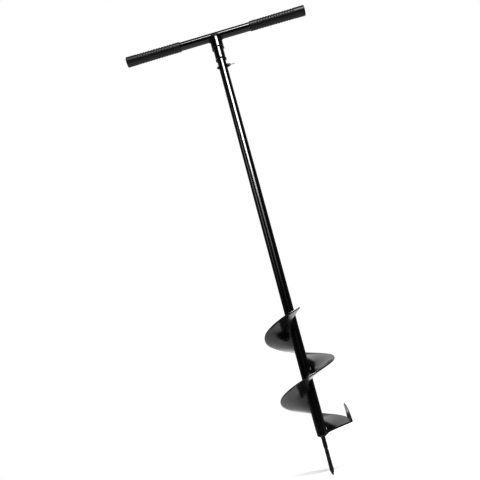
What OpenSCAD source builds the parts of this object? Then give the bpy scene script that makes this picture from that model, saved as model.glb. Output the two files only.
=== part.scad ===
// Hand post hole digger: a T-handled earth auger turned by both hands.
// Origin at the point of the pilot screw, +Z up the shaft, +X along the handlebar.

/* [Handle] */
// Length of the handlebar over both grips
bar_len = 540; // [460:10:620]
// Height of the handlebar's axis above the screw's point
bar_z = 1225; // [1050:5:1350]
// Length of each grip
grip_len = 165; // [120:5:180]
// Diameter of a grip beside its inner collar
grip_d = 29; // [28:0.5:31]
// Diameter of a grip at its outer end
grip_end_d = 31; // [31:0.5:34]
// Number of grooves around each grip
grip_grooves = 14; // [8:1:20]

/* [Tube] */
// Outer diameter of the tube that makes the shaft and the handlebar
tube_d = 25; // [24:0.5:27]
// Wall of that tube
tube_wall = 2; // [1.5:0.25:2.5]

/* [Socket] */
// Length of the handle's socket below the handlebar's axis
socket_len = 84; // [70:2:110]
// Length of the strengthening collar below the handlebar's axis
collar_len = 45; // [35:1:50]
// Outer diameter of the strengthening collar
collar_d = 36; // [35:0.5:40]
// Distance of the lock pin below the socket's rim
pin_drop = 22; // [16:1:30]
// Diameter of the lock pin
pin_d = 8; // [7:0.5:9]

/* [Flight] */
// Diameter of the flight
flight_d = 152; // [120:2:180]
// Rise of the flight in one turn
flight_pitch = 152; // [130:2:170]
// Turns of the flight
flight_turns = 1.8; // [1.2:0.1:2.5]
// Thickness of the flight's plate
flight_t = 3; // [2.5:0.5:4]
// How far the flight's root lies below its rim
flight_cup = 9.5; // [0:0.5:12]
// Height of the side cutter above the flight's rim
cutter_h = 42; // [20:1:45]

/* [Pilot screw] */
// Length of the screw that stands out of the shaft
screw_out = 87; // [75:1:110]
// Diameter of the screw
screw_d = 10; // [9:0.5:11]
// Rise of the screw's thread in one turn
screw_pitch = 4.5; // [4:0.5:6]

/* [Hidden] */
$fn = 64;
EPS = 0.01;
RUN = 0.05; // radial clearance of a running fit

tube_r = tube_d / 2;
bore_r = tube_r - tube_wall;
grip_wall = 4; // rubber across the end of the bar
bar_half = bar_len / 2 - grip_wall;

socket_wall = 2.45;
socket_bore_r = tube_r + RUN;
socket_r = socket_bore_r + socket_wall;
socket_saddle = 4; // the socket's top, cut to fit the bar, ends this far below the bar's axis
socket_top = bar_z - socket_saddle;
rim_z = bar_z - socket_len;
collar_r = collar_d / 2;
collar_saddle = 0.5; // how far the collar's top reaches up round the bar
collar_low = bar_z - collar_len;
collar_top = bar_z - tube_r + collar_saddle;

spigot_r = bore_r - RUN;
spigot_bore_r = 7.5;
spigot_head = 14; // how far the spigot's head reaches below the bar
spigot_saddle = 6; // the head's top, cut to fit the bar, ends this far below the bar's axis
spigot_tail = 34; // how far the spigot reaches below the pin
shaft_top = bar_z - tube_r - spigot_head;
spigot_low = rim_z - pin_drop - spigot_tail;
rosette_r = 4;
rosette_z = shaft_top + spigot_head / 2;

pin_z = rim_z - pin_drop;
pin_r = pin_d / 2;
pin_tilt = 35; // the pin stands turned about its own axis
pin_nose = tube_r + 5;
flange_r = 6;
flange_x = tube_r + 0.3;
flange_t = 2.7;
eye_reach = 3.5; // from the flange's face to the middle of the eye's hole
eye_x = flange_x + flange_t + eye_reach;
eye_t = 3;
eye_r = 4;
eye_hole_r = 1.2;
ring_wire_r = 0.7;
ring_r = 8;

ball_r = 1.5;
ball_x = -(tube_r + 2.4);
ball_out = 0.5; // how far the ball stands proud of the pin
detent_bore_r = ball_r + RUN;
detent_floor = -2.5;
spring_wire_r = 0.2;
spring_r = 1.1;
spring_top = pin_r + ball_out - 2 * ball_r;
spring_turns = 4;

shaft_low = screw_out;
plug_inset = 1.5; // how far the plug sits inside the shaft's end
plug_low = shaft_low + plug_inset;
plug_len = 18;
screw_r = screw_d / 2;
thread_h = 1.2;
core_r = screw_r - thread_h;
point_len = 10;
thread_top = 0.66 * screw_out;
shank_cone = 1.5; // rise over which the shank widens above the thread

flight_r = flight_d / 2;
lead_az = 3; // azimuth of the flight's leading edge
lead_rise = 14.8; // height of the rim there above the shaft's lower end
lead_z = shaft_low + lead_rise;
sweep_az = 360 * flight_turns;
az_step = 6;
root_r = tube_r / cos(az_step / 2);
stitch_az = [14, 96, 178, 260, 342, 424, 506, 588, 640];
stitch_half = 11;
stitch_r = 2.2;

cutter_t = 2.5;
cutter_az = [3, 24]; // azimuths of the cutter's point and heel

// ---- shapes used by several pieces ----

// Solid between closed sections that all have the same number of points
module skin(sections) {
    n = len(sections[0]);
    last = len(sections) - 1;
    sides = [for (i = [0 : last - 1], j = [0 : n - 1])
        let (a = i * n + j, b = i * n + (j + 1) % n)
        each [[a, b, b + n], [a, b + n, a + n]]];
    foot = [[for (j = [n - 1 : -1 : 0]) j]];
    head = [[for (j = [0 : n - 1]) last * n + j]];
    polyhedron(points = [for (s = sections) each s], faces = concat(sides, foot, head));
}

// A (radius, height) point turned to an azimuth about Z
function at_az(p, az) = [p[0] * cos(az), p[0] * sin(az), p[1]];

// Height of the flight's rim at an azimuth
function rim_height(az) = lead_z + flight_pitch * (az - lead_az) / 360;

// Height of the flight's middle surface
function flight_height(r, az) =
    rim_height(az) - flight_cup * (flight_r - r) / (flight_r - tube_r);

// Half of the plate's thickness, measured upright, at a radius
function half_upright(r) = flight_t / 2 * sqrt(1 + pow(flight_pitch / (2 * PI * r), 2));

// Cylinder along X
module x_cylinder(r, from, to) {
    translate([from, 0, 0])
        rotate([0, 90, 0])
            cylinder(r = r, h = to - from);
}

// The space that the handlebar's tube takes
module bar_space() {
    translate([0, 0, bar_z])
        x_cylinder(tube_r, -bar_half, bar_half);
}

// Round section for a bead, in the upright plane at an azimuth
function bead_section(r, z, size, az, sides = 6) =
    [for (k = [0 : sides - 1])
        at_az([r + size * cos(360 * k / sides), z + size * sin(360 * k / sides)], az)];

// ---- handle ----

module handlebar_tube() {
    color([0.07, 0.07, 0.08])
        translate([0, 0, bar_z])
            difference() {
                x_cylinder(tube_r, -bar_half, bar_half);
                x_cylinder(bore_r, -bar_half - 1, bar_half + 1);
            }
}

// Outline of a grip: radius against distance from its inner end
module grip_outline() {
    collar_end = 22;
    band = 28;
    edge = 2.5;
    groove = 0.8;
    step = (grip_len - collar_end - band) / grip_grooves;
    r0 = grip_d / 2;
    r1 = grip_end_d / 2;
    function radius(s) = r0 + (r1 - r0) * s / grip_len;
    grooves = [for (i = [0 : grip_grooves - 1])
        let (s = collar_end + i * step)
        each [[radius(s), s],
              [radius(s) - groove, s + 0.15 * step],
              [radius(s) - groove, s + 0.35 * step],
              [radius(s), s + 0.5 * step]]];
    end_arc = [for (a = [0 : 15 : 90])
        [r1 - edge + edge * cos(a), grip_len - edge + edge * sin(a)]];
    polygon(concat(
        [[tube_r, 0], [tube_r + 1, 0], [tube_r + 1.4, 1.2]],
        grooves,
        [[radius(grip_len - band), grip_len - band]],
        end_arc,
        [[0, grip_len], [0, grip_len - grip_wall], [tube_r, grip_len - grip_wall]]));
}

module grip() {
    color([0.11, 0.11, 0.12])
        translate([bar_len / 2 - grip_len, 0, bar_z])
            rotate([0, 90, 0])
                rotate_extrude($fn = 96)
                    grip_outline();
}

module right_grip() {
    grip();
}

module left_grip() {
    mirror([1, 0, 0])
        grip();
}

// Sleeve under the bar that the shaft's top slides into, with a rolled rim
module handle_socket() {
    rolled = 1;
    color([0.07, 0.07, 0.08])
        difference() {
            rotate_extrude()
                polygon(concat(
                    [[socket_bore_r, socket_top], [socket_bore_r, rim_z + 1], [socket_bore_r + 0.6, rim_z]],
                    [for (a = [-90 : 20 : 90])
                        [socket_r + rolled * cos(a), rim_z + 1.5 + 1.5 * sin(a)]],
                    [[socket_r, rim_z + 4], [socket_r, socket_top]]));
            bar_space();
            translate([0, 0, rosette_z])
                x_cylinder(rosette_r, -collar_r, collar_r);
        }
}

// Thick ring that strengthens the top of the socket
module socket_collar() {
    color([0.07, 0.07, 0.08])
        difference() {
            translate([0, 0, collar_low])
                rotate_extrude()
                    polygon([[socket_r, 0], [collar_r - 0.8, 0], [collar_r, 0.8],
                             [collar_r, collar_top - collar_low], [socket_r, collar_top - collar_low]]);
            bar_space();
        }
}

// Fillet weld that runs round the joint of collar, socket and bar
module collar_weld() {
    leg = 4.5;
    color([0.1, 0.1, 0.11])
        difference() {
            union() {
                translate([0, 0, collar_top])
                    cylinder(r1 = collar_r - 0.3, r2 = socket_r + 0.3, h = 7);
                intersection() {
                    translate([0, 0, collar_top - leg - 2])
                        cylinder(r1 = collar_r, r2 = collar_r + leg, h = leg + 4);
                    translate([-collar_d, -0.8 * tube_r, collar_low])
                        cube([2 * collar_d, 1.6 * tube_r, collar_len]);
                }
            }
            bar_space();
            translate([0, 0, collar_low - 1])
                cylinder(r = collar_r, h = collar_top - collar_low + 1);
            translate([0, 0, collar_low - 1])
                cylinder(r = socket_r, h = collar_len);
        }
}

// Inner tube of the handle: its head fills the socket's top, its stem runs inside the shaft
module spigot() {
    color([0.5, 0.5, 0.52])
        difference() {
            union() {
                translate([0, 0, spigot_low])
                    cylinder(r = spigot_r, h = shaft_top - spigot_low + EPS);
                translate([0, 0, shaft_top])
                    cylinder(r = tube_r, h = bar_z - shaft_top - spigot_saddle);
            }
            translate([0, 0, spigot_low - 1])
                cylinder(r = spigot_bore_r, h = bar_z - spigot_low);
            bar_space();
            pin_hole();
        }
}

// Plug welds through the socket's wall that hold the spigot's head
module rosette_welds() {
    outer = sqrt(pow(socket_r, 2) - pow(rosette_r, 2));
    color([0.3, 0.3, 0.32])
        for (side = [0, 180])
            rotate([0, 0, side])
                translate([0, 0, rosette_z])
                    x_cylinder(rosette_r, tube_r, outer);
}

// ---- shaft ----

// Hole for the lock pin through shaft and spigot
module pin_hole() {
    translate([0, 0, pin_z])
        x_cylinder(pin_r + RUN, -2 * tube_r, 2 * tube_r);
}

module shaft_tube() {
    color([0.07, 0.07, 0.08])
        difference() {
            translate([0, 0, shaft_low])
                rotate_extrude()
                    polygon([[bore_r, 0], [tube_r - 0.6, 0], [tube_r, 0.6],
                             [tube_r, shaft_top - shaft_low], [bore_r, shaft_top - shaft_low]]);
            pin_hole();
        }
}

// Solid plug welded into the bottom of the shaft, bored for the screw's shank
module end_plug() {
    color([0.3, 0.3, 0.32])
        translate([0, 0, plug_low])
            difference() {
                cylinder(r = bore_r, h = plug_len);
                translate([0, 0, -1])
                    cylinder(r = screw_r, h = plug_len + 2);
            }
}

// Fillet between the screw's shank, the plug and the shaft's rim
module tip_weld() {
    color([0.1, 0.1, 0.11])
        rotate_extrude()
            polygon([[screw_r, shaft_low - 3], [screw_r + 1.2, shaft_low - 2.4], [bore_r + 0.6, shaft_low],
                     [bore_r, shaft_low], [bore_r, plug_low], [screw_r, plug_low]]);
}

// Radius of the thread's crest: full along the shank, run out at the top, tapered to the point
function crest_radius(z) =
    let (full = min(1, z / point_len), out = min(1, (thread_top - z) / (0.7 * screw_pitch)))
    max(0.25, screw_r * full) - (1 - out) * (screw_r - core_r + 0.15);

module pilot_screw() {
    per_turn = 18;
    low_z = 1.2; // where the thread starts above the point
    flank = 1.5; // half of the thread's height along its root
    crest = 0.3; // and along its crest
    steps = floor((thread_top - low_z) / screw_pitch * per_turn);
    sections = [for (i = [0 : steps])
        let (z = low_z + i * screw_pitch / per_turn,
             az = 360 * i / per_turn,
             r = crest_radius(z),
             root = max(0.12, (core_r - 0.3) * min(1, z / point_len)))
        [at_az([root, z - flank], az), at_az([r, z - crest], az),
         at_az([r, z + crest], az), at_az([root, z + flank], az)]];
    color([0.14, 0.14, 0.15])
        union() {
            cylinder(r1 = 0, r2 = core_r, h = point_len);
            translate([0, 0, point_len])
                cylinder(r = core_r, h = thread_top - point_len);
            translate([0, 0, thread_top])
                cylinder(r1 = core_r, r2 = screw_r, h = shank_cone);
            translate([0, 0, thread_top + shank_cone])
                cylinder(r = screw_r, h = plug_low + plug_len - thread_top - shank_cone);
            skin(sections);
        }
}

// ---- flight ----

// Section of the flight at an azimuth, from the root out along the top and back below
function flight_section(az) =
    let (radii = [root_r, tube_r + 10, flight_r * 0.62, flight_r])
    concat(
        [for (r = radii) at_az([r, flight_height(r, az) - half_upright(r)], az)],
        [for (k = [len(radii) - 1 : -1 : 0])
            at_az([radii[k], flight_height(radii[k], az) + half_upright(radii[k])], az)]);

module flight() {
    color([0.1, 0.1, 0.11])
        skin([for (a = [0 : az_step : sweep_az]) flight_section(lead_az + a)]);
}

// Short beads along the flight's root, above it and below it in turn
module flight_welds() {
    color([0.12, 0.12, 0.13])
        for (az = stitch_az, side = [-1, 1])
            if (az + stitch_half < lead_az + sweep_az + 6)
                stitch(az, side);
}

module stitch(az, side) {
    r = tube_r + 0.7;
    steps = 5;
    skin([for (i = [0 : steps])
        let (u = i / steps,
             a = az + stitch_half * (2 * u - 1),
             size = stitch_r * (0.45 + 0.55 * sin(180 * u)),
             z = flight_height(r, a) + side * (half_upright(r) + 0.4))
        bead_section(r, z, size, a)]);
}

// Upright fin on the rim behind the leading edge, which trims the wall of the hole
module side_cutter() {
    heel_y = flight_r * sin(cutter_az[1]);
    toe_y = flight_r * sin(cutter_az[0]);
    foot_z = half_upright(flight_r) + 0.15;
    toe_z = rim_height(cutter_az[0]) + foot_z;
    heel_z = rim_height(cutter_az[1]) + foot_z;
    bulge = 0.52; // how far the leading edge swells above a straight line
    edge = [for (u = [0 : 0.125 : 1])
        [toe_y + (heel_y - toe_y) * u, toe_z + cutter_h * (u + bulge * u * (1 - u))]];
    color([0.1, 0.1, 0.11])
        intersection() {
            difference() {
                cylinder(r = flight_r, h = bar_z);
                translate([0, 0, -1])
                    cylinder(r = flight_r - cutter_t, h = bar_z + 2);
            }
            translate([tube_r, 0, 0])
                rotate([90, 0, 90])
                    linear_extrude(height = flight_r)
                        polygon(concat(edge, [[heel_y, heel_z]]));
        }
}

// Bead along the inside of the side cutter's foot
module cutter_weld() {
    r = flight_r - cutter_t - 0.6;
    steps = 6;
    color([0.12, 0.12, 0.13])
        skin([for (i = [0 : steps])
            let (u = i / steps,
                 a = cutter_az[0] + 2 + (cutter_az[1] - cutter_az[0] - 4) * u,
                 z = flight_height(r, a) + half_upright(r) + 0.5)
            bead_section(r, z, 1.6 * (0.5 + 0.5 * sin(180 * u)), a)]);
}

// ---- lock pin ----

// Places a lock pin piece: X along the pin, Y along the hole of its eye
module pin_frame() {
    translate([0, 0, pin_z])
        rotate([pin_tilt, 0, 0])
            children();
}

module lock_pin() {
    chamfer = 1.5;
    color([0.55, 0.55, 0.57])
        pin_frame()
            difference() {
                union() {
                    translate([-pin_nose, 0, 0])
                        rotate([0, 90, 0])
                            rotate_extrude()
                                polygon([[0, 0], [pin_r - chamfer, 0], [pin_r, chamfer],
                                         [pin_r, pin_nose + flange_x], [flange_r - 0.5, pin_nose + flange_x],
                                         [flange_r, pin_nose + flange_x + 0.5],
                                         [flange_r, pin_nose + flange_x + flange_t],
                                         [0, pin_nose + flange_x + flange_t]]);
                    translate([flange_x + flange_t, -eye_t / 2, -eye_r])
                        cube([eye_x - flange_x - flange_t, eye_t, 2 * eye_r]);
                    translate([eye_x, eye_t / 2, 0])
                        rotate([90, 0, 0])
                            cylinder(r = eye_r, h = eye_t);
                }
                translate([eye_x, eye_t, 0])
                    rotate([90, 0, 0])
                        cylinder(r = eye_hole_r, h = 2 * eye_t);
                translate([ball_x, 0, detent_floor])
                    cylinder(r = detent_bore_r, h = 2 * pin_r);
            }
}

// Ball that snaps out past the tube's wall and keeps the pin in
module detent_ball() {
    color("silver")
        pin_frame()
            translate([ball_x, 0, pin_r + ball_out - ball_r])
                sphere(r = ball_r);
}

module detent_spring() {
    per_turn = 12;
    steps = per_turn * spring_turns;
    rise = spring_top - detent_floor - 2 * spring_wire_r - 2 * EPS;
    color("silver")
        pin_frame()
            translate([ball_x, 0, detent_floor + spring_wire_r + EPS])
                skin([for (i = [0 : steps])
                    bead_section(spring_r, rise * i / steps, spring_wire_r, 360 * i / per_turn, 5)]);
}

// Wire ring through the eye of the lock pin, standing straight out from it
module pull_ring() {
    color([0.6, 0.6, 0.62])
        pin_frame()
            translate([eye_x + ring_r, 0, 0])
                rotate_extrude()
                    translate([ring_r, 0])
                        circle(r = ring_wire_r, $fn = 24);
}

handlebar_tube();
left_grip();
right_grip();
handle_socket();
socket_collar();
collar_weld();
spigot();
rosette_welds();
shaft_tube();
flight();
flight_welds();
side_cutter();
cutter_weld();
end_plug();
pilot_screw();
tip_weld();
lock_pin();
detent_ball();
detent_spring();
pull_ring();
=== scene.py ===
import math

import bmesh
import bpy
from mathutils import Matrix, Vector, noise


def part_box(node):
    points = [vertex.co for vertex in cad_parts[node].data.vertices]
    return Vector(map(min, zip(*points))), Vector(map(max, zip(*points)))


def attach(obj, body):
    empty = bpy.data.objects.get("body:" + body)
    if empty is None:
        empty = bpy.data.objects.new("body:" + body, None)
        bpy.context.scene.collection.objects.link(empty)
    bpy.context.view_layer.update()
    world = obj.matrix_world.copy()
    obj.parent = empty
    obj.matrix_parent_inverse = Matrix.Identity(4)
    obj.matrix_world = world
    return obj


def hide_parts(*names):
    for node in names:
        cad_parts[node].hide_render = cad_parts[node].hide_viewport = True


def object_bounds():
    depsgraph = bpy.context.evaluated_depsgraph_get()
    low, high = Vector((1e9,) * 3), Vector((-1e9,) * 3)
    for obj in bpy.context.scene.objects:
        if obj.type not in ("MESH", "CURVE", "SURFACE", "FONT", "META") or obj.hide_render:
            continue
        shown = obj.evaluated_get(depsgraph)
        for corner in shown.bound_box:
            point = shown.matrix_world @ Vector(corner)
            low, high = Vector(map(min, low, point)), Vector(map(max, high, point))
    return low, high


# Hand post hole digger. Metres, origin at the screw's point, +Z up the shaft, +X along the handlebar.
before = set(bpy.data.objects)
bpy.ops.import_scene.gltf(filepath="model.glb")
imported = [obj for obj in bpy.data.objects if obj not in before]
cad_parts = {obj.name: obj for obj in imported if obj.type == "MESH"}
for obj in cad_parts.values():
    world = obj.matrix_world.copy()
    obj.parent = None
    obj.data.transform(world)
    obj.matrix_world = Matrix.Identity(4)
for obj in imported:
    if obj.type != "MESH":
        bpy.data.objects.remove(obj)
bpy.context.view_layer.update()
MM = 0.001


# ---- sizes, from the frame ----

def span(node, axis):
    """Lowest and highest coordinate of a CAD node along an axis."""
    low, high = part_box(node)
    return low[axis], high[axis]


def radius(node, axis=1):
    """Half of a round node's width."""
    low, high = span(node, axis)
    return (high - low) / 2


BAR_LOW, BAR_HIGH = span("handlebar_tube", 2)
BAR_Z = (BAR_LOW + BAR_HIGH) / 2
BAR_R = (BAR_HIGH - BAR_LOW) / 2
GRIP_IN, GRIP_OUT = span("right_grip", 0)
GRIP_LEN = GRIP_OUT - GRIP_IN
GRIP_END_R = radius("right_grip")
GRIP_R = GRIP_END_R - 1.0 * MM
SHAFT_R = radius("shaft_tube")
SHAFT_LOW = span("shaft_tube", 2)[0]
PLUG_R = radius("end_plug")
PLUG_LOW, PLUG_HIGH = span("end_plug", 2)
COLLAR_R = radius("socket_collar")
COLLAR_TOP = span("socket_collar", 2)[1]
SOCKET_TOP = span("handle_socket", 2)[1]
SOCKET_R = SHAFT_R + 2.5 * MM
FLIGHT_R = radius("flight", 0)
SCREW_R = radius("pilot_screw", 1)

# The flight's shape
PITCH = 152 * MM
CUP = 9.5 * MM
PLATE = 3 * MM
LEAD_AZ = 3
SWEEP = 648
LEAD_Z = SHAFT_LOW + 14.8 * MM
CUTTER_AZ = (3, 24)
CUTTER_H = 42 * MM
CUTTER_T = 2.5 * MM
CUTTER_EDGE = 0.8  # thickness at the fin's cutting edge, as a share of CUTTER_T
CUTTER_BULGE = 0.52  # how far the front edge swells past a straight line

# The pilot screw's shape
THREAD_PITCH = 4.5 * MM
THREAD_DEPTH = 1.5 * MM
THREAD_TOP = 0.66 * SHAFT_LOW
POINT_LEN = 10 * MM


def smooth(x, low, high):
    """0 below low, 1 above high, and a smooth step between."""
    t = min(1, max(0, (x - low) / (high - low)))
    return t * t * (3 - 2 * t)


def rim_height(az):
    """Height of the flight's rim at an azimuth in degrees."""
    return LEAD_Z + PITCH * (az - LEAD_AZ) / 360


def flight_height(r, az):
    """Height of the flight's middle surface: the root hangs lower than the rim."""
    return rim_height(az) - CUP * (FLIGHT_R - r) / (FLIGHT_R - SHAFT_R)


def half_upright(r):
    """Half of the plate's thickness, measured upright."""
    return PLATE / 2 * math.sqrt(1 + (PITCH / (2 * math.pi * r)) ** 2)


def polar(r, az, z):
    a = math.radians(az)
    return Vector((r * math.cos(a), r * math.sin(a), z))


# ---- materials ----

class Shader:
    """Short calls that wire the nodes of one material."""

    def __init__(self, name, **constants):
        self.material = bpy.data.materials.new(name)
        self.material.use_nodes = True
        self.tree = self.material.node_tree
        self.surface = self.tree.nodes["Principled BSDF"]
        for socket, value in constants.items():
            self.surface.inputs[socket.replace("_", " ")].default_value = value
        self.place = self.add("ShaderNodeTexCoord").outputs["Object"]

    def add(self, kind, inputs=None, **settings):
        node = self.tree.nodes.new(kind)
        for key, value in settings.items():
            setattr(node, key, value)
        for key, value in (inputs or {}).items():
            self.feed(node.inputs[key], value)
        return node

    def feed(self, socket, value):
        """Links an output to the socket, or sets the socket to a value."""
        if isinstance(value, bpy.types.NodeSocket):
            self.tree.links.new(value, socket)
        else:
            socket.default_value = value

    def stretch(self, scale):
        """The object's coordinates, scaled on each axis."""
        return self.add("ShaderNodeMapping", {"Vector": self.place, "Scale": scale}).outputs["Vector"]

    def noise(self, size, detail=3, place=None, distortion=0):
        """Noise whose blotches are about size metres across."""
        wired = {"Vector": place or self.place, "Scale": 1 / size, "Detail": detail, "Distortion": distortion}
        return self.add("ShaderNodeTexNoise", wired).outputs["Fac"]

    def calc(self, operation, a, b=0.0, clamp=False):
        node = self.add("ShaderNodeMath", operation=operation, use_clamp=clamp)
        self.feed(node.inputs[0], a)
        self.feed(node.inputs[1], b)
        return node.outputs[0]

    def remap(self, value, low, high, to_low=0.0, to_high=1.0):
        wired = {"Value": value, "From Min": low, "From Max": high, "To Min": to_low, "To Max": to_high}
        node = self.add("ShaderNodeMapRange", wired, interpolation_type="SMOOTHSTEP")
        return node.outputs["Result"]

    def mix(self, a, b, share):
        """Colour a, with a share of colour b."""
        node = self.add("ShaderNodeMix", data_type="RGBA")
        self.feed(node.inputs["Factor"], share)
        self.feed(node.inputs[6], a)
        self.feed(node.inputs[7], b)
        return node.outputs[2]

    def from_axis(self):
        """Distance from the shaft's axis."""
        split = self.add("ShaderNodeSeparateXYZ", {"Vector": self.place}).outputs
        flat = self.add("ShaderNodeCombineXYZ", {"X": split["X"], "Y": split["Y"]}).outputs["Vector"]
        return self.add("ShaderNodeVectorMath", {0: flat}, operation="LENGTH").outputs["Value"]

    def edges(self, width):
        """1 along sharp outer edges, 0 on flat stretches."""
        rounded = self.add("ShaderNodeBevel", {"Radius": width}, samples=6).outputs["Normal"]
        true = self.add("ShaderNodeNewGeometry").outputs["Normal"]
        dot = self.add("ShaderNodeVectorMath", operation="DOT_PRODUCT")
        self.feed(dot.inputs[0], rounded)
        self.feed(dot.inputs[1], true)
        return self.remap(dot.outputs["Value"], 0.99, 0.8)

    def bump(self, heights):
        """Bumps from pairs of height output and depth in metres."""
        normal = None
        for height, depth in heights:
            wired = {"Height": height, "Distance": depth, "Strength": 1.0}
            node = self.add("ShaderNodeBump", wired)
            if normal:
                self.feed(node.inputs["Normal"], normal)
            normal = node.outputs["Normal"]
        self.feed(self.surface.inputs["Normal"], normal)

    def finish(self, colour, roughness, bumps):
        self.feed(self.surface.inputs["Base Color"], colour)
        self.feed(self.surface.inputs["Roughness"], roughness)
        self.bump(bumps)
        return self.material


def grey(value, warmth=0.0):
    return (value * (1 + warmth), value, value * (1 - warmth), 1)


def black_paint():
    """Gloss powder coat on drawn tube: faint orange peel, fine dust nibs and a few dull patches."""
    s = Shader("black_paint", Specular_IOR_Level=0.5, IOR=1.5)
    cloudy = s.noise(60 * MM, 4)
    nibs = s.remap(s.noise(1.3 * MM, 1), 0.74, 0.82)
    worn = s.calc("MULTIPLY", s.edges(0.5 * MM), s.remap(s.noise(5 * MM, 4), 0.45, 0.65))
    colour = s.mix(grey(0.0004), grey(0.0009), cloudy)
    colour = s.mix(colour, grey(0.008, 0.06), s.calc("MULTIPLY", worn, 0.7))
    roughness = s.calc("ADD", s.remap(cloudy, 0.3, 0.7, 0.14, 0.18), s.calc("MULTIPLY", nibs, 0.1))
    return s.finish(colour, roughness, [(s.noise(2.6 * MM, 2), 0.004 * MM), (nibs, 0.006 * MM)])


def flight_paint():
    """Satin coat on pressed plate, with drag marks round the axis and bare steel at the cutting edges."""
    s = Shader("flight_paint", Specular_IOR_Level=0.58, IOR=1.5)
    cloudy = s.noise(35 * MM, 4)
    drag = s.noise(9 * MM, 4, s.stretch((1, 1, 0.2)), distortion=0.6)
    worn = s.calc("MULTIPLY", s.edges(0.7 * MM), s.remap(s.noise(4 * MM, 4), 0.42, 0.62))
    colour = s.mix(grey(0.0004), grey(0.0011), cloudy)
    colour = s.mix(colour, grey(0.009, 0.05), s.calc("MULTIPLY", worn, 0.6))
    roughness = s.calc("ADD", s.remap(cloudy, 0.3, 0.7, 0.14, 0.18), s.calc("MULTIPLY", drag, 0.04))
    return s.finish(colour, roughness, [(drag, 0.02 * MM), (s.noise(2.2 * MM, 3), 0.004 * MM)])


def ground_paint():
    """The flight's coat on the fin, ground away to scratched steel on the upper part of its inner side."""
    s = Shader("ground_paint", Specular_IOR_Level=0.2, IOR=1.5)
    split = s.add("ShaderNodeSeparateXYZ", {"Vector": s.place})
    inner = s.remap(s.from_axis(), FLIGHT_R - 1.6 * MM, FLIGHT_R - 1.95 * MM)
    foot = rim_height(CUTTER_AZ[0])
    height = s.calc("ADD", split.outputs["Z"], s.calc("MULTIPLY", s.noise(5 * MM, 4), 6 * MM))
    bare = s.calc("MULTIPLY", inner, s.remap(height, foot + 20 * MM, foot + 30 * MM))
    scratches = s.noise(1.2 * MM, 3, s.stretch((1, 1, 0.12)))
    steel = s.mix(grey(0.75), grey(0.95, 0.01), scratches)
    colour = s.mix(s.mix(grey(0.0004), grey(0.0011), s.noise(35 * MM, 4)), steel, bare)
    s.feed(s.surface.inputs["Metallic"], bare)
    roughness = s.calc("ADD", s.remap(scratches, 0.3, 0.7, 0.14, 0.18), s.calc("MULTIPLY", bare, 0.3))
    return s.finish(colour, roughness, [(scratches, 0.006 * MM)])


def weld_paint():
    """The same coat over weld metal, with spatter and a pitted skin."""
    s = Shader("weld_paint", Specular_IOR_Level=0.35, IOR=1.5)
    pits = s.noise(1.2 * MM, 4)
    colour = s.mix(grey(0.0005), grey(0.002), pits)
    return s.finish(colour, s.remap(pits, 0.3, 0.7, 0.16, 0.28), [(pits, 0.08 * MM)])


def grip_rubber():
    """Moulded rubber with a fine grain and a little dust between the ribs."""
    s = Shader("grip_rubber", Specular_IOR_Level=0.32, IOR=1.5)
    grain = s.noise(0.7 * MM, 3)
    patches = s.noise(24 * MM, 4)
    colour = s.mix(grey(0.004), grey(0.0075, 0.02), patches)
    colour = s.mix(colour, grey(0.014, 0.08), s.calc("MULTIPLY", s.remap(grain, 0.6, 0.8), 0.5))
    return s.finish(colour, s.remap(patches, 0.3, 0.7, 0.36, 0.44), [(grain, 0.03 * MM)])


def screw_steel():
    """Blackened screw, rubbed towards bare steel on the crests of its thread."""
    s = Shader("screw_steel", Specular_IOR_Level=0.2, IOR=1.5, Metallic=0.2)
    scale = s.noise(2.4 * MM, 5)
    rubbed = s.calc("MULTIPLY", s.remap(s.from_axis(), SCREW_R - 0.5 * MM, SCREW_R), s.remap(scale, 0.4, 0.65))
    colour = s.mix(grey(0.0004), grey(0.0012), scale)
    colour = s.mix(colour, grey(0.03, 0.05), s.calc("MULTIPLY", rubbed, 0.5))
    return s.finish(colour, s.remap(scale, 0.3, 0.7, 0.2, 0.3), [(scale, 0.03 * MM)])


def pin_steel():
    """Zinc plated steel that has gone dull and cloudy."""
    s = Shader("pin_steel", Metallic=1.0)
    cloudy = s.noise(3 * MM, 4)
    lathe_marks = s.noise(0.4 * MM, 2, s.stretch((4, 0.5, 0.5)))
    colour = s.mix(grey(0.014, 0.02), grey(0.06), cloudy)
    return s.finish(colour, s.remap(cloudy, 0.3, 0.7, 0.28, 0.42), [(lathe_marks, 0.01 * MM)])


def spring_steel():
    """Bright hard-drawn steel with drawing marks."""
    s = Shader("spring_steel", Metallic=1.0)
    cloudy = s.noise(1.5 * MM, 3)
    colour = s.mix(grey(0.42), grey(0.6), cloudy)
    return s.finish(colour, s.remap(cloudy, 0.3, 0.7, 0.15, 0.25), [(s.noise(0.3 * MM, 2), 0.004 * MM)])


def bare_steel():
    """Unpainted mill steel with scale and a breath of rust."""
    s = Shader("bare_steel", Metallic=0.9)
    scale = s.noise(4 * MM, 5)
    rust = s.remap(s.noise(11 * MM, 4), 0.55, 0.75)
    colour = s.mix(grey(0.12), grey(0.3), scale)
    colour = s.mix(colour, (0.13, 0.06, 0.03, 1), s.calc("MULTIPLY", rust, 0.4))
    return s.finish(colour, s.remap(scale, 0.3, 0.7, 0.35, 0.55), [(scale, 0.03 * MM)])


PAINT = black_paint()
FLIGHT_PAINT = flight_paint()
GROUND_PAINT = ground_paint()
WELD_PAINT = weld_paint()
RUBBER = grip_rubber()
SCREW = screw_steel()
PIN = pin_steel()
SPRING = spring_steel()
BARE = bare_steel()

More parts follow.
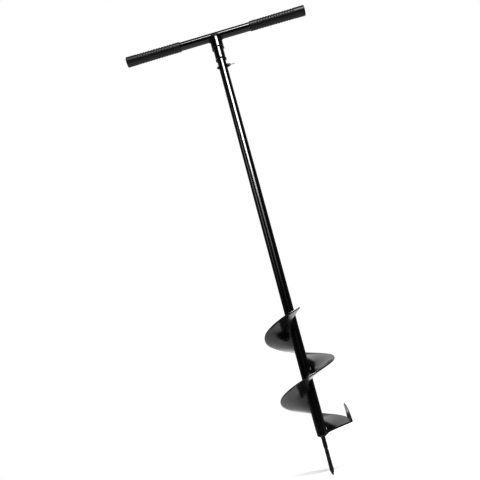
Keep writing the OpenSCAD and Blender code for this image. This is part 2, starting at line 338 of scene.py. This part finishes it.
KEPT_NODES = {
    "handlebar_tube": PAINT, "handle_socket": PAINT, "socket_collar": PAINT, "shaft_tube": PAINT,
    "spigot": BARE, "rosette_welds": BARE, "end_plug": BARE,
    "lock_pin": PIN, "pull_ring": PIN, "detent_ball": SPRING, "detent_spring": SPRING,
}
for node_name, finish_material in KEPT_NODES.items():
    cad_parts[node_name].material_slots[0].material = finish_material


# ---- mesh tools ----

def piece(name, points, faces, material, replaces, body="auger", sharp=38):
    """A closed mesh that rides on a body and stands for a CAD node. Flat ends with many corners stay sharp-edged."""
    mesh = bpy.data.meshes.new(name)
    mesh.from_pydata([tuple(p) for p in points], [], faces)
    work = bmesh.new()
    work.from_mesh(mesh)
    bmesh.ops.recalc_face_normals(work, faces=work.faces)
    work.to_mesh(mesh)
    work.free()
    mesh.shade_smooth()
    mesh.set_sharp_from_angle(angle=math.radians(sharp))
    work = bmesh.new()
    work.from_mesh(mesh)
    for face in work.faces:
        if len(face.verts) > 4:
            for edge in face.edges:
                edge.smooth = False
    work.to_mesh(mesh)
    work.free()
    mesh.materials.append(material)
    obj = bpy.data.objects.new(name, mesh)
    bpy.context.scene.collection.objects.link(obj)
    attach(obj, body)
    if replaces:
        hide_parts(*replaces)
    return obj


def round_edges(obj, width, angle):
    """Rounds the edges where faces meet at more than an angle in degrees."""
    rounded = obj.modifiers.new("rounded_edges", "BEVEL")
    rounded.width = width
    rounded.segments = 2
    rounded.limit_method = "ANGLE"
    rounded.angle_limit = math.radians(angle)


def skin(sections, closed=False):
    """Points and faces over loops with the same number of points, capped unless the row of loops closes."""
    n, count = len(sections[0]), len(sections)
    points = [p for s in sections for p in s]
    faces = []
    for i in range(count if closed else count - 1):
        a, b = i * n, (i + 1) % count * n
        faces += [(a + j, a + (j + 1) % n, b + (j + 1) % n, b + j) for j in range(n)]
    if not closed:
        faces += [tuple(range(n)), tuple(range((count - 1) * n, count * n))]
    return points, faces


def merge(parts):
    """One list of points and one of faces from several."""
    points, faces = [], []
    for more_points, more_faces in parts:
        start = len(points)
        points += more_points
        faces += [tuple(start + i for i in f) for f in more_faces]
    return points, faces


def lathe(outline, segments, to_point, swell=None):
    """A closed outline of (radius, along) pairs turned about an axis. to_point(r, along, angle) places a point."""
    sections = []
    for k in range(segments):
        angle = 2 * math.pi * k / segments
        rows = [(r + swell(r, s, angle) if swell else r, s) for r, s in outline]
        sections.append([to_point(r, s, angle) for r, s in rows])
    return skin(sections, closed=True)


def about_z(r, s, angle):
    return Vector((r * math.cos(angle), r * math.sin(angle), s))


def bead(path, size, steps, flatten=1.0, sides=10, ripples=8, seed=0.0, closed=False):
    """A weld bead along path(u), u from 0 to 1, with ripples and an uneven width. path gives the centre and two
    directions across it."""
    sections = []
    for i in range(steps if closed else steps + 1):
        u = i / steps
        centre, across, up = path(u)
        taper = 1 if closed else 0.35 + 0.65 * math.sin(math.pi * u) ** 0.5
        ripple = 1 + 0.13 * abs(math.sin(math.pi * ripples * u))
        uneven = 1 + 0.16 * noise.noise(Vector((9 * u + seed, seed, 1.7)))
        width = size * taper * ripple * uneven
        sections.append([
            centre + across * width * math.cos(a) + up * width * flatten * math.sin(a)
            for a in [2 * math.pi * k / sides for k in range(sides)]
        ])
    return skin(sections, closed)


# ---- grips ----

COLLAR_END = 22 * MM
BAND = 28 * MM
GROOVES = 14
GROOVE_DEPTH = 1.0 * MM


def grip_radius(s):
    """Radius of a grip at a distance from its inner end."""
    base = GRIP_R + (GRIP_END_R - GRIP_R) * s / GRIP_LEN
    step = (GRIP_LEN - COLLAR_END - BAND) / GROOVES
    cell = (s - COLLAR_END) / step
    if 0 <= cell <= GROOVES:
        across = abs(cell % 1 - 0.25) / 0.25
        base -= GROOVE_DEPTH * (1 - smooth(across, 0.3, 1.0))
    lip = smooth(s, 0, 1.6 * MM)
    return BAR_R + 0.5 * MM + (base - BAR_R - 0.5 * MM) * lip


def grip(name, side, node):
    edge = 2.5 * MM
    fine = 0.6 * MM
    rows = int((GRIP_LEN - edge) / fine)
    wall = [(grip_radius(i * fine), i * fine) for i in range(rows + 1)]
    turn = [math.radians(a) for a in range(0, 91, 10)]
    end = [(GRIP_END_R - edge + edge * math.cos(a), GRIP_LEN - edge + edge * math.sin(a)) for a in turn]
    dimple = [(0.55 * GRIP_END_R, GRIP_LEN), (0.5 * GRIP_END_R, GRIP_LEN - 0.5 * MM), (0.3 * MM, GRIP_LEN - 0.5 * MM)]
    inside = [(0.3 * MM, GRIP_LEN - 3.9 * MM), (BAR_R, GRIP_LEN - 3.9 * MM), (BAR_R, 0)]

    def to_point(r, s, angle):
        return Vector((side * (GRIP_IN + s), r * math.sin(angle), BAR_Z + r * math.cos(angle)))

    def parting_line(r, s, angle):
        if r < BAR_R + 0.4 * MM:
            return 0
        away = abs(math.sin(angle))
        return 0.12 * MM * math.exp(-((away / 0.03) ** 2)) - 0.14 * MM

    points, faces = lathe(wall + end + dimple + inside, 120, to_point, parting_line)
    piece(name, points, faces, RUBBER, [node], sharp=50)


grip("grip_right", 1, "right_grip")
grip("grip_left", -1, "left_grip")


# ---- handle weld ----

def handle_weld():
    """A fillet ring on the collar's shoulder and a bead that climbs round the joint with the bar."""
    top = SOCKET_TOP - 1.0 * MM
    low = COLLAR_TOP - 1.2 * MM
    hollow = 1.0 * MM
    fillet = []
    for i in range(9):
        u = i / 8
        r = COLLAR_R - 0.3 * MM + (SOCKET_R + 0.3 * MM - COLLAR_R) * u
        fillet.append((r - hollow * math.sin(math.pi * u), COLLAR_TOP + (top - COLLAR_TOP) * u))
    outline = fillet + [(SOCKET_R - 0.6 * MM, top), (SOCKET_R - 0.6 * MM, low), (COLLAR_R - 0.6 * MM, low)]

    def ripple(r, s, angle):
        if r < SOCKET_R:
            return 0
        return 0.35 * MM * noise.noise(Vector((9 * math.cos(angle), 9 * math.sin(angle), s / (2 * MM))))

    ring = lathe(outline, 120, about_z, ripple)

    def saddle(u):
        angle = 2 * math.pi * u
        r = COLLAR_R - 0.6 * MM + 1.6 * MM * math.cos(angle) ** 2 - 3.2 * MM * math.sin(angle) ** 6
        y = r * math.sin(angle)
        inside_bar = max(0, 1 - (y / BAR_R) ** 2)
        z = BAR_Z - 0.97 * BAR_R * math.sqrt(inside_bar) if inside_bar > 0.08 else SOCKET_TOP - 0.4 * MM
        outward = Vector((math.cos(angle), math.sin(angle), 0))
        return Vector((r * math.cos(angle), y, min(z, SOCKET_TOP - 0.4 * MM))), outward, Vector((0, 0, 1))

    climbing = bead(saddle, 2.5 * MM, 220, 0.9, ripples=44, seed=3.1, closed=True)
    points, faces = merge([ring, climbing])
    piece("handle_weld", points, faces, WELD_PAINT, ["collar_weld"])


handle_weld()


# ---- auger ----

def flight_plate():
    """The helical plate, with a rounded rim and ends and the slight waves of a pressed plate."""
    step = 2
    stations = 15
    rounding = 0.5 * MM
    inner = SHAFT_R - 0.3 * MM
    radii = [inner + (FLIGHT_R - rounding - inner) * i / stations for i in range(stations + 1)]
    turns = list(range(0, SWEEP + 1, step))
    sections = []
    for turn in turns:
        az = LEAD_AZ + turn

        def height(r, offset):
            wave = noise.noise(Vector((r * math.cos(math.radians(az)), r * math.sin(math.radians(az)), az / 900)) * 22)
            rise = 0.5 * MM * wave * smooth(r, SHAFT_R + 4 * MM, FLIGHT_R)
            return flight_height(r, az) + rise + offset * half_upright(r)

        below = [polar(r, az, height(r, -1)) for r in radii]
        above = [polar(r, az, height(r, 1)) for r in reversed(radii)]
        rim = [
            polar(FLIGHT_R - 0.15 * MM, az, height(FLIGHT_R, -0.88)),
            polar(FLIGHT_R, az, height(FLIGHT_R, -0.6)),
            polar(FLIGHT_R, az, height(FLIGHT_R, 0.6)),
            polar(FLIGHT_R - 0.15 * MM, az, height(FLIGHT_R, 0.88)),
        ]
        sections.append(below + rim + above)
    points, faces = skin(sections)
    plate = piece("flight_plate", points, faces, FLIGHT_PAINT, ["flight"], sharp=45)
    round_edges(plate, 0.35 * MM, 60)


def stitch_welds():
    """Short beads along the root, above the plate and below it."""
    half = 11
    azimuths = list(range(14, 600, 82)) + [640]
    parts = []
    for number, middle in enumerate(azimuths):
        for side in (-1, 1):
            def path(u, middle=middle, side=side):
                az = middle + half * (2 * u - 1)
                r = SHAFT_R + 0.6 * MM
                z = flight_height(r, az) + side * (half_upright(r) + 0.3 * MM)
                out = polar(1, az, 0)
                return polar(r, az, z), out, Vector((0, 0, 1))
            parts.append(bead(path, 2.3 * MM, 40, 1.15, ripples=7, seed=number * 1.7 + side))
    points, faces = merge(parts)
    piece("stitch_welds", points, faces, WELD_PAINT, ["flight_welds"])


def cutter_fin():
    """The upright fin on the rim: a curved blade with a bulging front edge and an upright heel."""
    columns, rows = 28, 14
    toe_y = FLIGHT_R * math.sin(math.radians(CUTTER_AZ[0]))
    heel_y = FLIGHT_R * math.sin(math.radians(CUTTER_AZ[1]))
    toe_z = rim_height(CUTTER_AZ[0]) + half_upright(FLIGHT_R)
    sections = []
    for i in range(columns + 1):
        u = 0.015 + 0.985 * i / columns
        az = math.degrees(math.asin((toe_y + (heel_y - toe_y) * u) / FLIGHT_R))
        low = rim_height(az) + half_upright(FLIGHT_R) - 0.5 * MM
        high = toe_z + CUTTER_H * (u + CUTTER_BULGE * u * (1 - u))
        heights = [low + (high - low) * j / rows for j in range(rows + 1)]
        sharpened = [CUTTER_T * (CUTTER_EDGE + (1 - CUTTER_EDGE) * smooth(high - z, 0, 4 * MM)) for z in heights]
        outer = [polar(FLIGHT_R, az, z) for z in heights]
        inner = [polar(FLIGHT_R - t, az, z) for t, z in zip(sharpened, heights)]
        sections.append(outer + inner[::-1])
    points, faces = skin(sections)
    fin = piece("cutter_fin", points, faces, GROUND_PAINT, ["side_cutter"], sharp=30)
    round_edges(fin, 0.3 * MM, 50)


def fin_weld():
    """A bead along the inside of the fin's foot."""
    def path(u):
        az = CUTTER_AZ[0] + 2 + (CUTTER_AZ[1] - CUTTER_AZ[0] - 4) * u
        r = FLIGHT_R - CUTTER_T - 0.5 * MM
        return polar(r, az, flight_height(r, az) + half_upright(r) + 0.4 * MM), polar(1, az, 0), Vector((0, 0, 1))

    points, faces = bead(path, 1.7 * MM, 60, 0.9, ripples=12, seed=5.3)
    piece("fin_weld", points, faces, WELD_PAINT, ["cutter_weld"])


def point_screw():
    """Coarse thread that runs out above and tapers to the point, under a plain shank."""
    around = 48
    row = 0.3 * MM

    def thread_radius(z, angle):
        core = (SCREW_R - THREAD_DEPTH) * min(1, (z + 0.4 * MM) / POINT_LEN)
        run_out = smooth(THREAD_TOP - z, 0, 0.8 * THREAD_PITCH)
        crest = THREAD_DEPTH * run_out * min(1, 0.5 + z / POINT_LEN)
        phase = (z / THREAD_PITCH - angle / (2 * math.pi)) % 1
        ridge = 1 - smooth(abs(phase - 0.5) * 2, 0.5, 0.95)
        return max(0.15 * MM, core + crest * ridge)

    def shank_radius(z):
        return SCREW_R - THREAD_DEPTH * (1 - smooth(z, THREAD_TOP, THREAD_TOP + 2 * MM))

    count = int(THREAD_TOP / row)
    sections = []
    for i in range(count + 1):
        z = i * row
        ring = [2 * math.pi * k / around for k in range(around)]
        sections.append([about_z(thread_radius(z, a), z, a) for a in ring])
    for i in range(1, 8):
        z = count * row + i * 0.6 * MM
        sections.append([about_z(shank_radius(z), z, 2 * math.pi * k / around) for k in range(around)])
    for z in (SHAFT_LOW - 6 * MM, PLUG_HIGH):
        sections.append([about_z(SCREW_R, z, 2 * math.pi * k / around) for k in range(around)])
    points, faces = skin(sections)
    piece("point_screw", points, faces, SCREW, ["pilot_screw"], sharp=60)


def end_weld():
    """The fillet between the screw's shank and the shaft's end."""
    rise = 3 * MM
    outline = [(SCREW_R, SHAFT_LOW - rise)]
    for i in range(1, 9):
        u = i / 8
        swell = 0.8 * MM * math.sin(math.pi * u)
        outline.append((SCREW_R + (PLUG_R + 0.4 * MM - SCREW_R) * u, SHAFT_LOW - rise * (1 - u ** 1.3) - swell))
    outline += [(PLUG_R - 0.1 * MM, PLUG_LOW), (SCREW_R, PLUG_LOW)]

    def ripple(r, s, angle):
        if s > SHAFT_LOW - 0.2 * MM:
            return 0
        return 0.3 * MM * noise.noise(Vector((5 * math.cos(angle), 5 * math.sin(angle), s / (3 * MM))))

    points, faces = lathe(outline, 96, about_z, ripple)
    piece("end_weld", points, faces, WELD_PAINT, ["tip_weld"])


flight_plate()
stitch_welds()
cutter_fin()
fin_weld()
point_screw()
end_weld()


# ---- studio ----

CAMERA_AT = (0.01539, -1.43671, 0.11326)
CAMERA_LENS = 43.96
CAMERA_YAW = 3.585
CAMERA_PITCH = 18.642
CAMERA_ROLL = 14.158
FLOOR_R = 6.0
FLOOR_CENTRE_Y = 4.8
VIEW_GAMMA = 0.82


def camera():
    data = bpy.data.cameras.new("camera")
    data.lens = CAMERA_LENS
    data.sensor_width = 36
    data.clip_start = 0.05
    obj = bpy.data.objects.new("camera", data)
    yaw = Matrix.Rotation(math.radians(CAMERA_YAW), 4, "Z")
    pitch = Matrix.Rotation(math.radians(CAMERA_PITCH), 4, "X")
    roll = Matrix.Rotation(math.radians(CAMERA_ROLL), 4, "Y")
    level = Matrix.Rotation(math.radians(90), 4, "X")
    obj.matrix_world = Matrix.Translation(CAMERA_AT) @ yaw @ pitch @ roll @ level
    bpy.context.scene.collection.objects.link(obj)
    bpy.context.scene.camera = obj


def soft_light(name, azimuth, elevation, width, radiance):
    """A round panel too far away for its distance to matter. Azimuth 0 is at the camera's side and grows towards +X.
    All angles are in degrees, and width is how wide the panel looks from the object."""
    data = bpy.data.lights.new(name, "SUN")
    data.angle = math.radians(width)
    data.energy = radiance * 2 * math.pi * (1 - math.cos(data.angle / 2))
    obj = bpy.data.objects.new(name, data)
    a, e = math.radians(azimuth), math.radians(elevation)
    towards = Vector((math.sin(a) * math.cos(e), -math.cos(a) * math.cos(e), math.sin(e)))
    obj.rotation_euler = towards.to_track_quat("Z", "Y").to_euler()
    bpy.context.scene.collection.objects.link(obj)


def surroundings():
    """White to the camera. The object sees a dark room in front, dim sides, and a white sweep high up behind that is
    brighter overhead and to the right."""
    world = bpy.data.worlds.new("studio")
    world.use_nodes = True
    bpy.context.scene.world = world
    tree = world.node_tree

    def wire(kind, inputs, output, **settings):
        node = tree.nodes.new(kind)
        for key, value in settings.items():
            setattr(node, key, value)
        for key, value in inputs.items():
            if isinstance(value, bpy.types.NodeSocket):
                tree.links.new(value, node.inputs[key])
            else:
                node.inputs[key].default_value = value
        return node.outputs[output]

    def ramp(value, low, high, to_low, to_high):
        wired = {"Value": value, "From Min": low, "From Max": high, "To Min": to_low, "To Max": to_high}
        return wire("ShaderNodeMapRange", wired, "Result", interpolation_type="SMOOTHSTEP")

    direction = tree.nodes.new("ShaderNodeTexCoord").outputs["Generated"]
    split = wire("ShaderNodeSeparateXYZ", {"Vector": direction}, "Y").node
    right, back, up = split.outputs["X"], split.outputs["Y"], split.outputs["Z"]
    leaning = wire("ShaderNodeMath", {0: up, 1: 0.8, 2: back}, 0, operation="MULTIPLY_ADD")
    sides = ramp(back, -0.6, 0.2, 0.01, 0.16)
    overhead = ramp(up, 0.6, 0.97, 1.0, 1.6)
    to_right = wire("ShaderNodeMath", {0: overhead, 1: ramp(right, 0.05, 0.4, 1.0, 1.8)}, 0, operation="MULTIPLY")
    above = ramp(up, 0.4, 0.55, 0.0, 1.0)
    share = wire("ShaderNodeMath", {0: above, 1: ramp(leaning, 0.92, 1.08, 0.0, 1.0)}, 0, operation="MULTIPLY")
    sweep = wire("ShaderNodeMath", {0: to_right, 1: share, 2: sides}, 0, operation="MULTIPLY_ADD")
    lit = wire("ShaderNodeBackground", {"Strength": sweep}, "Background")
    seen = wire("ShaderNodeBackground", {"Strength": 1.0, "Color": (1, 1, 1, 1)}, "Background")
    lit.node.inputs["Color"].default_value = (1, 1, 1, 1)
    from_camera = tree.nodes.new("ShaderNodeLightPath").outputs["Is Camera Ray"]
    chosen = wire("ShaderNodeMixShader", {"Fac": from_camera, 1: lit, 2: seen}, "Shader")
    tree.links.new(chosen, tree.nodes["World Output"].inputs["Surface"])
    bpy.context.scene.view_settings.view_transform = "Standard"
    bpy.context.scene.view_settings.gamma = VIEW_GAMMA


def floor():
    """A plain pale floor under the screw's point. It ends 1.2 m in front of the tool, so the handle's underside has
    something dark to reflect."""
    material = bpy.data.materials.new("pale_floor")
    material.use_nodes = True
    surface = material.node_tree.nodes["Principled BSDF"]
    surface.inputs["Base Color"].default_value = (0.8, 0.8, 0.8, 1)
    surface.inputs["Roughness"].default_value = 0.9
    surface.inputs["Specular IOR Level"].default_value = 0.0
    work = bmesh.new()
    bmesh.ops.create_circle(work, cap_ends=True, radius=FLOOR_R, segments=96)
    mesh = bpy.data.meshes.new("pale_floor")
    work.to_mesh(mesh)
    work.free()
    mesh.materials.append(material)
    obj = bpy.data.objects.new("pale_floor", mesh)
    obj.location = (0, FLOOR_CENTRE_Y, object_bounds()[0].z)
    bpy.context.scene.collection.objects.link(obj)


camera()
for azimuth in (4, 16, 28):
    soft_light("key_light", azimuth, 32, 15, 36)
soft_light("key_glow", 16, 26, 20, 5)
soft_light("side_light", -54, 23, 16, 5)
soft_light("back_light", -130, 50, 20, 9)
surroundings()
floor()
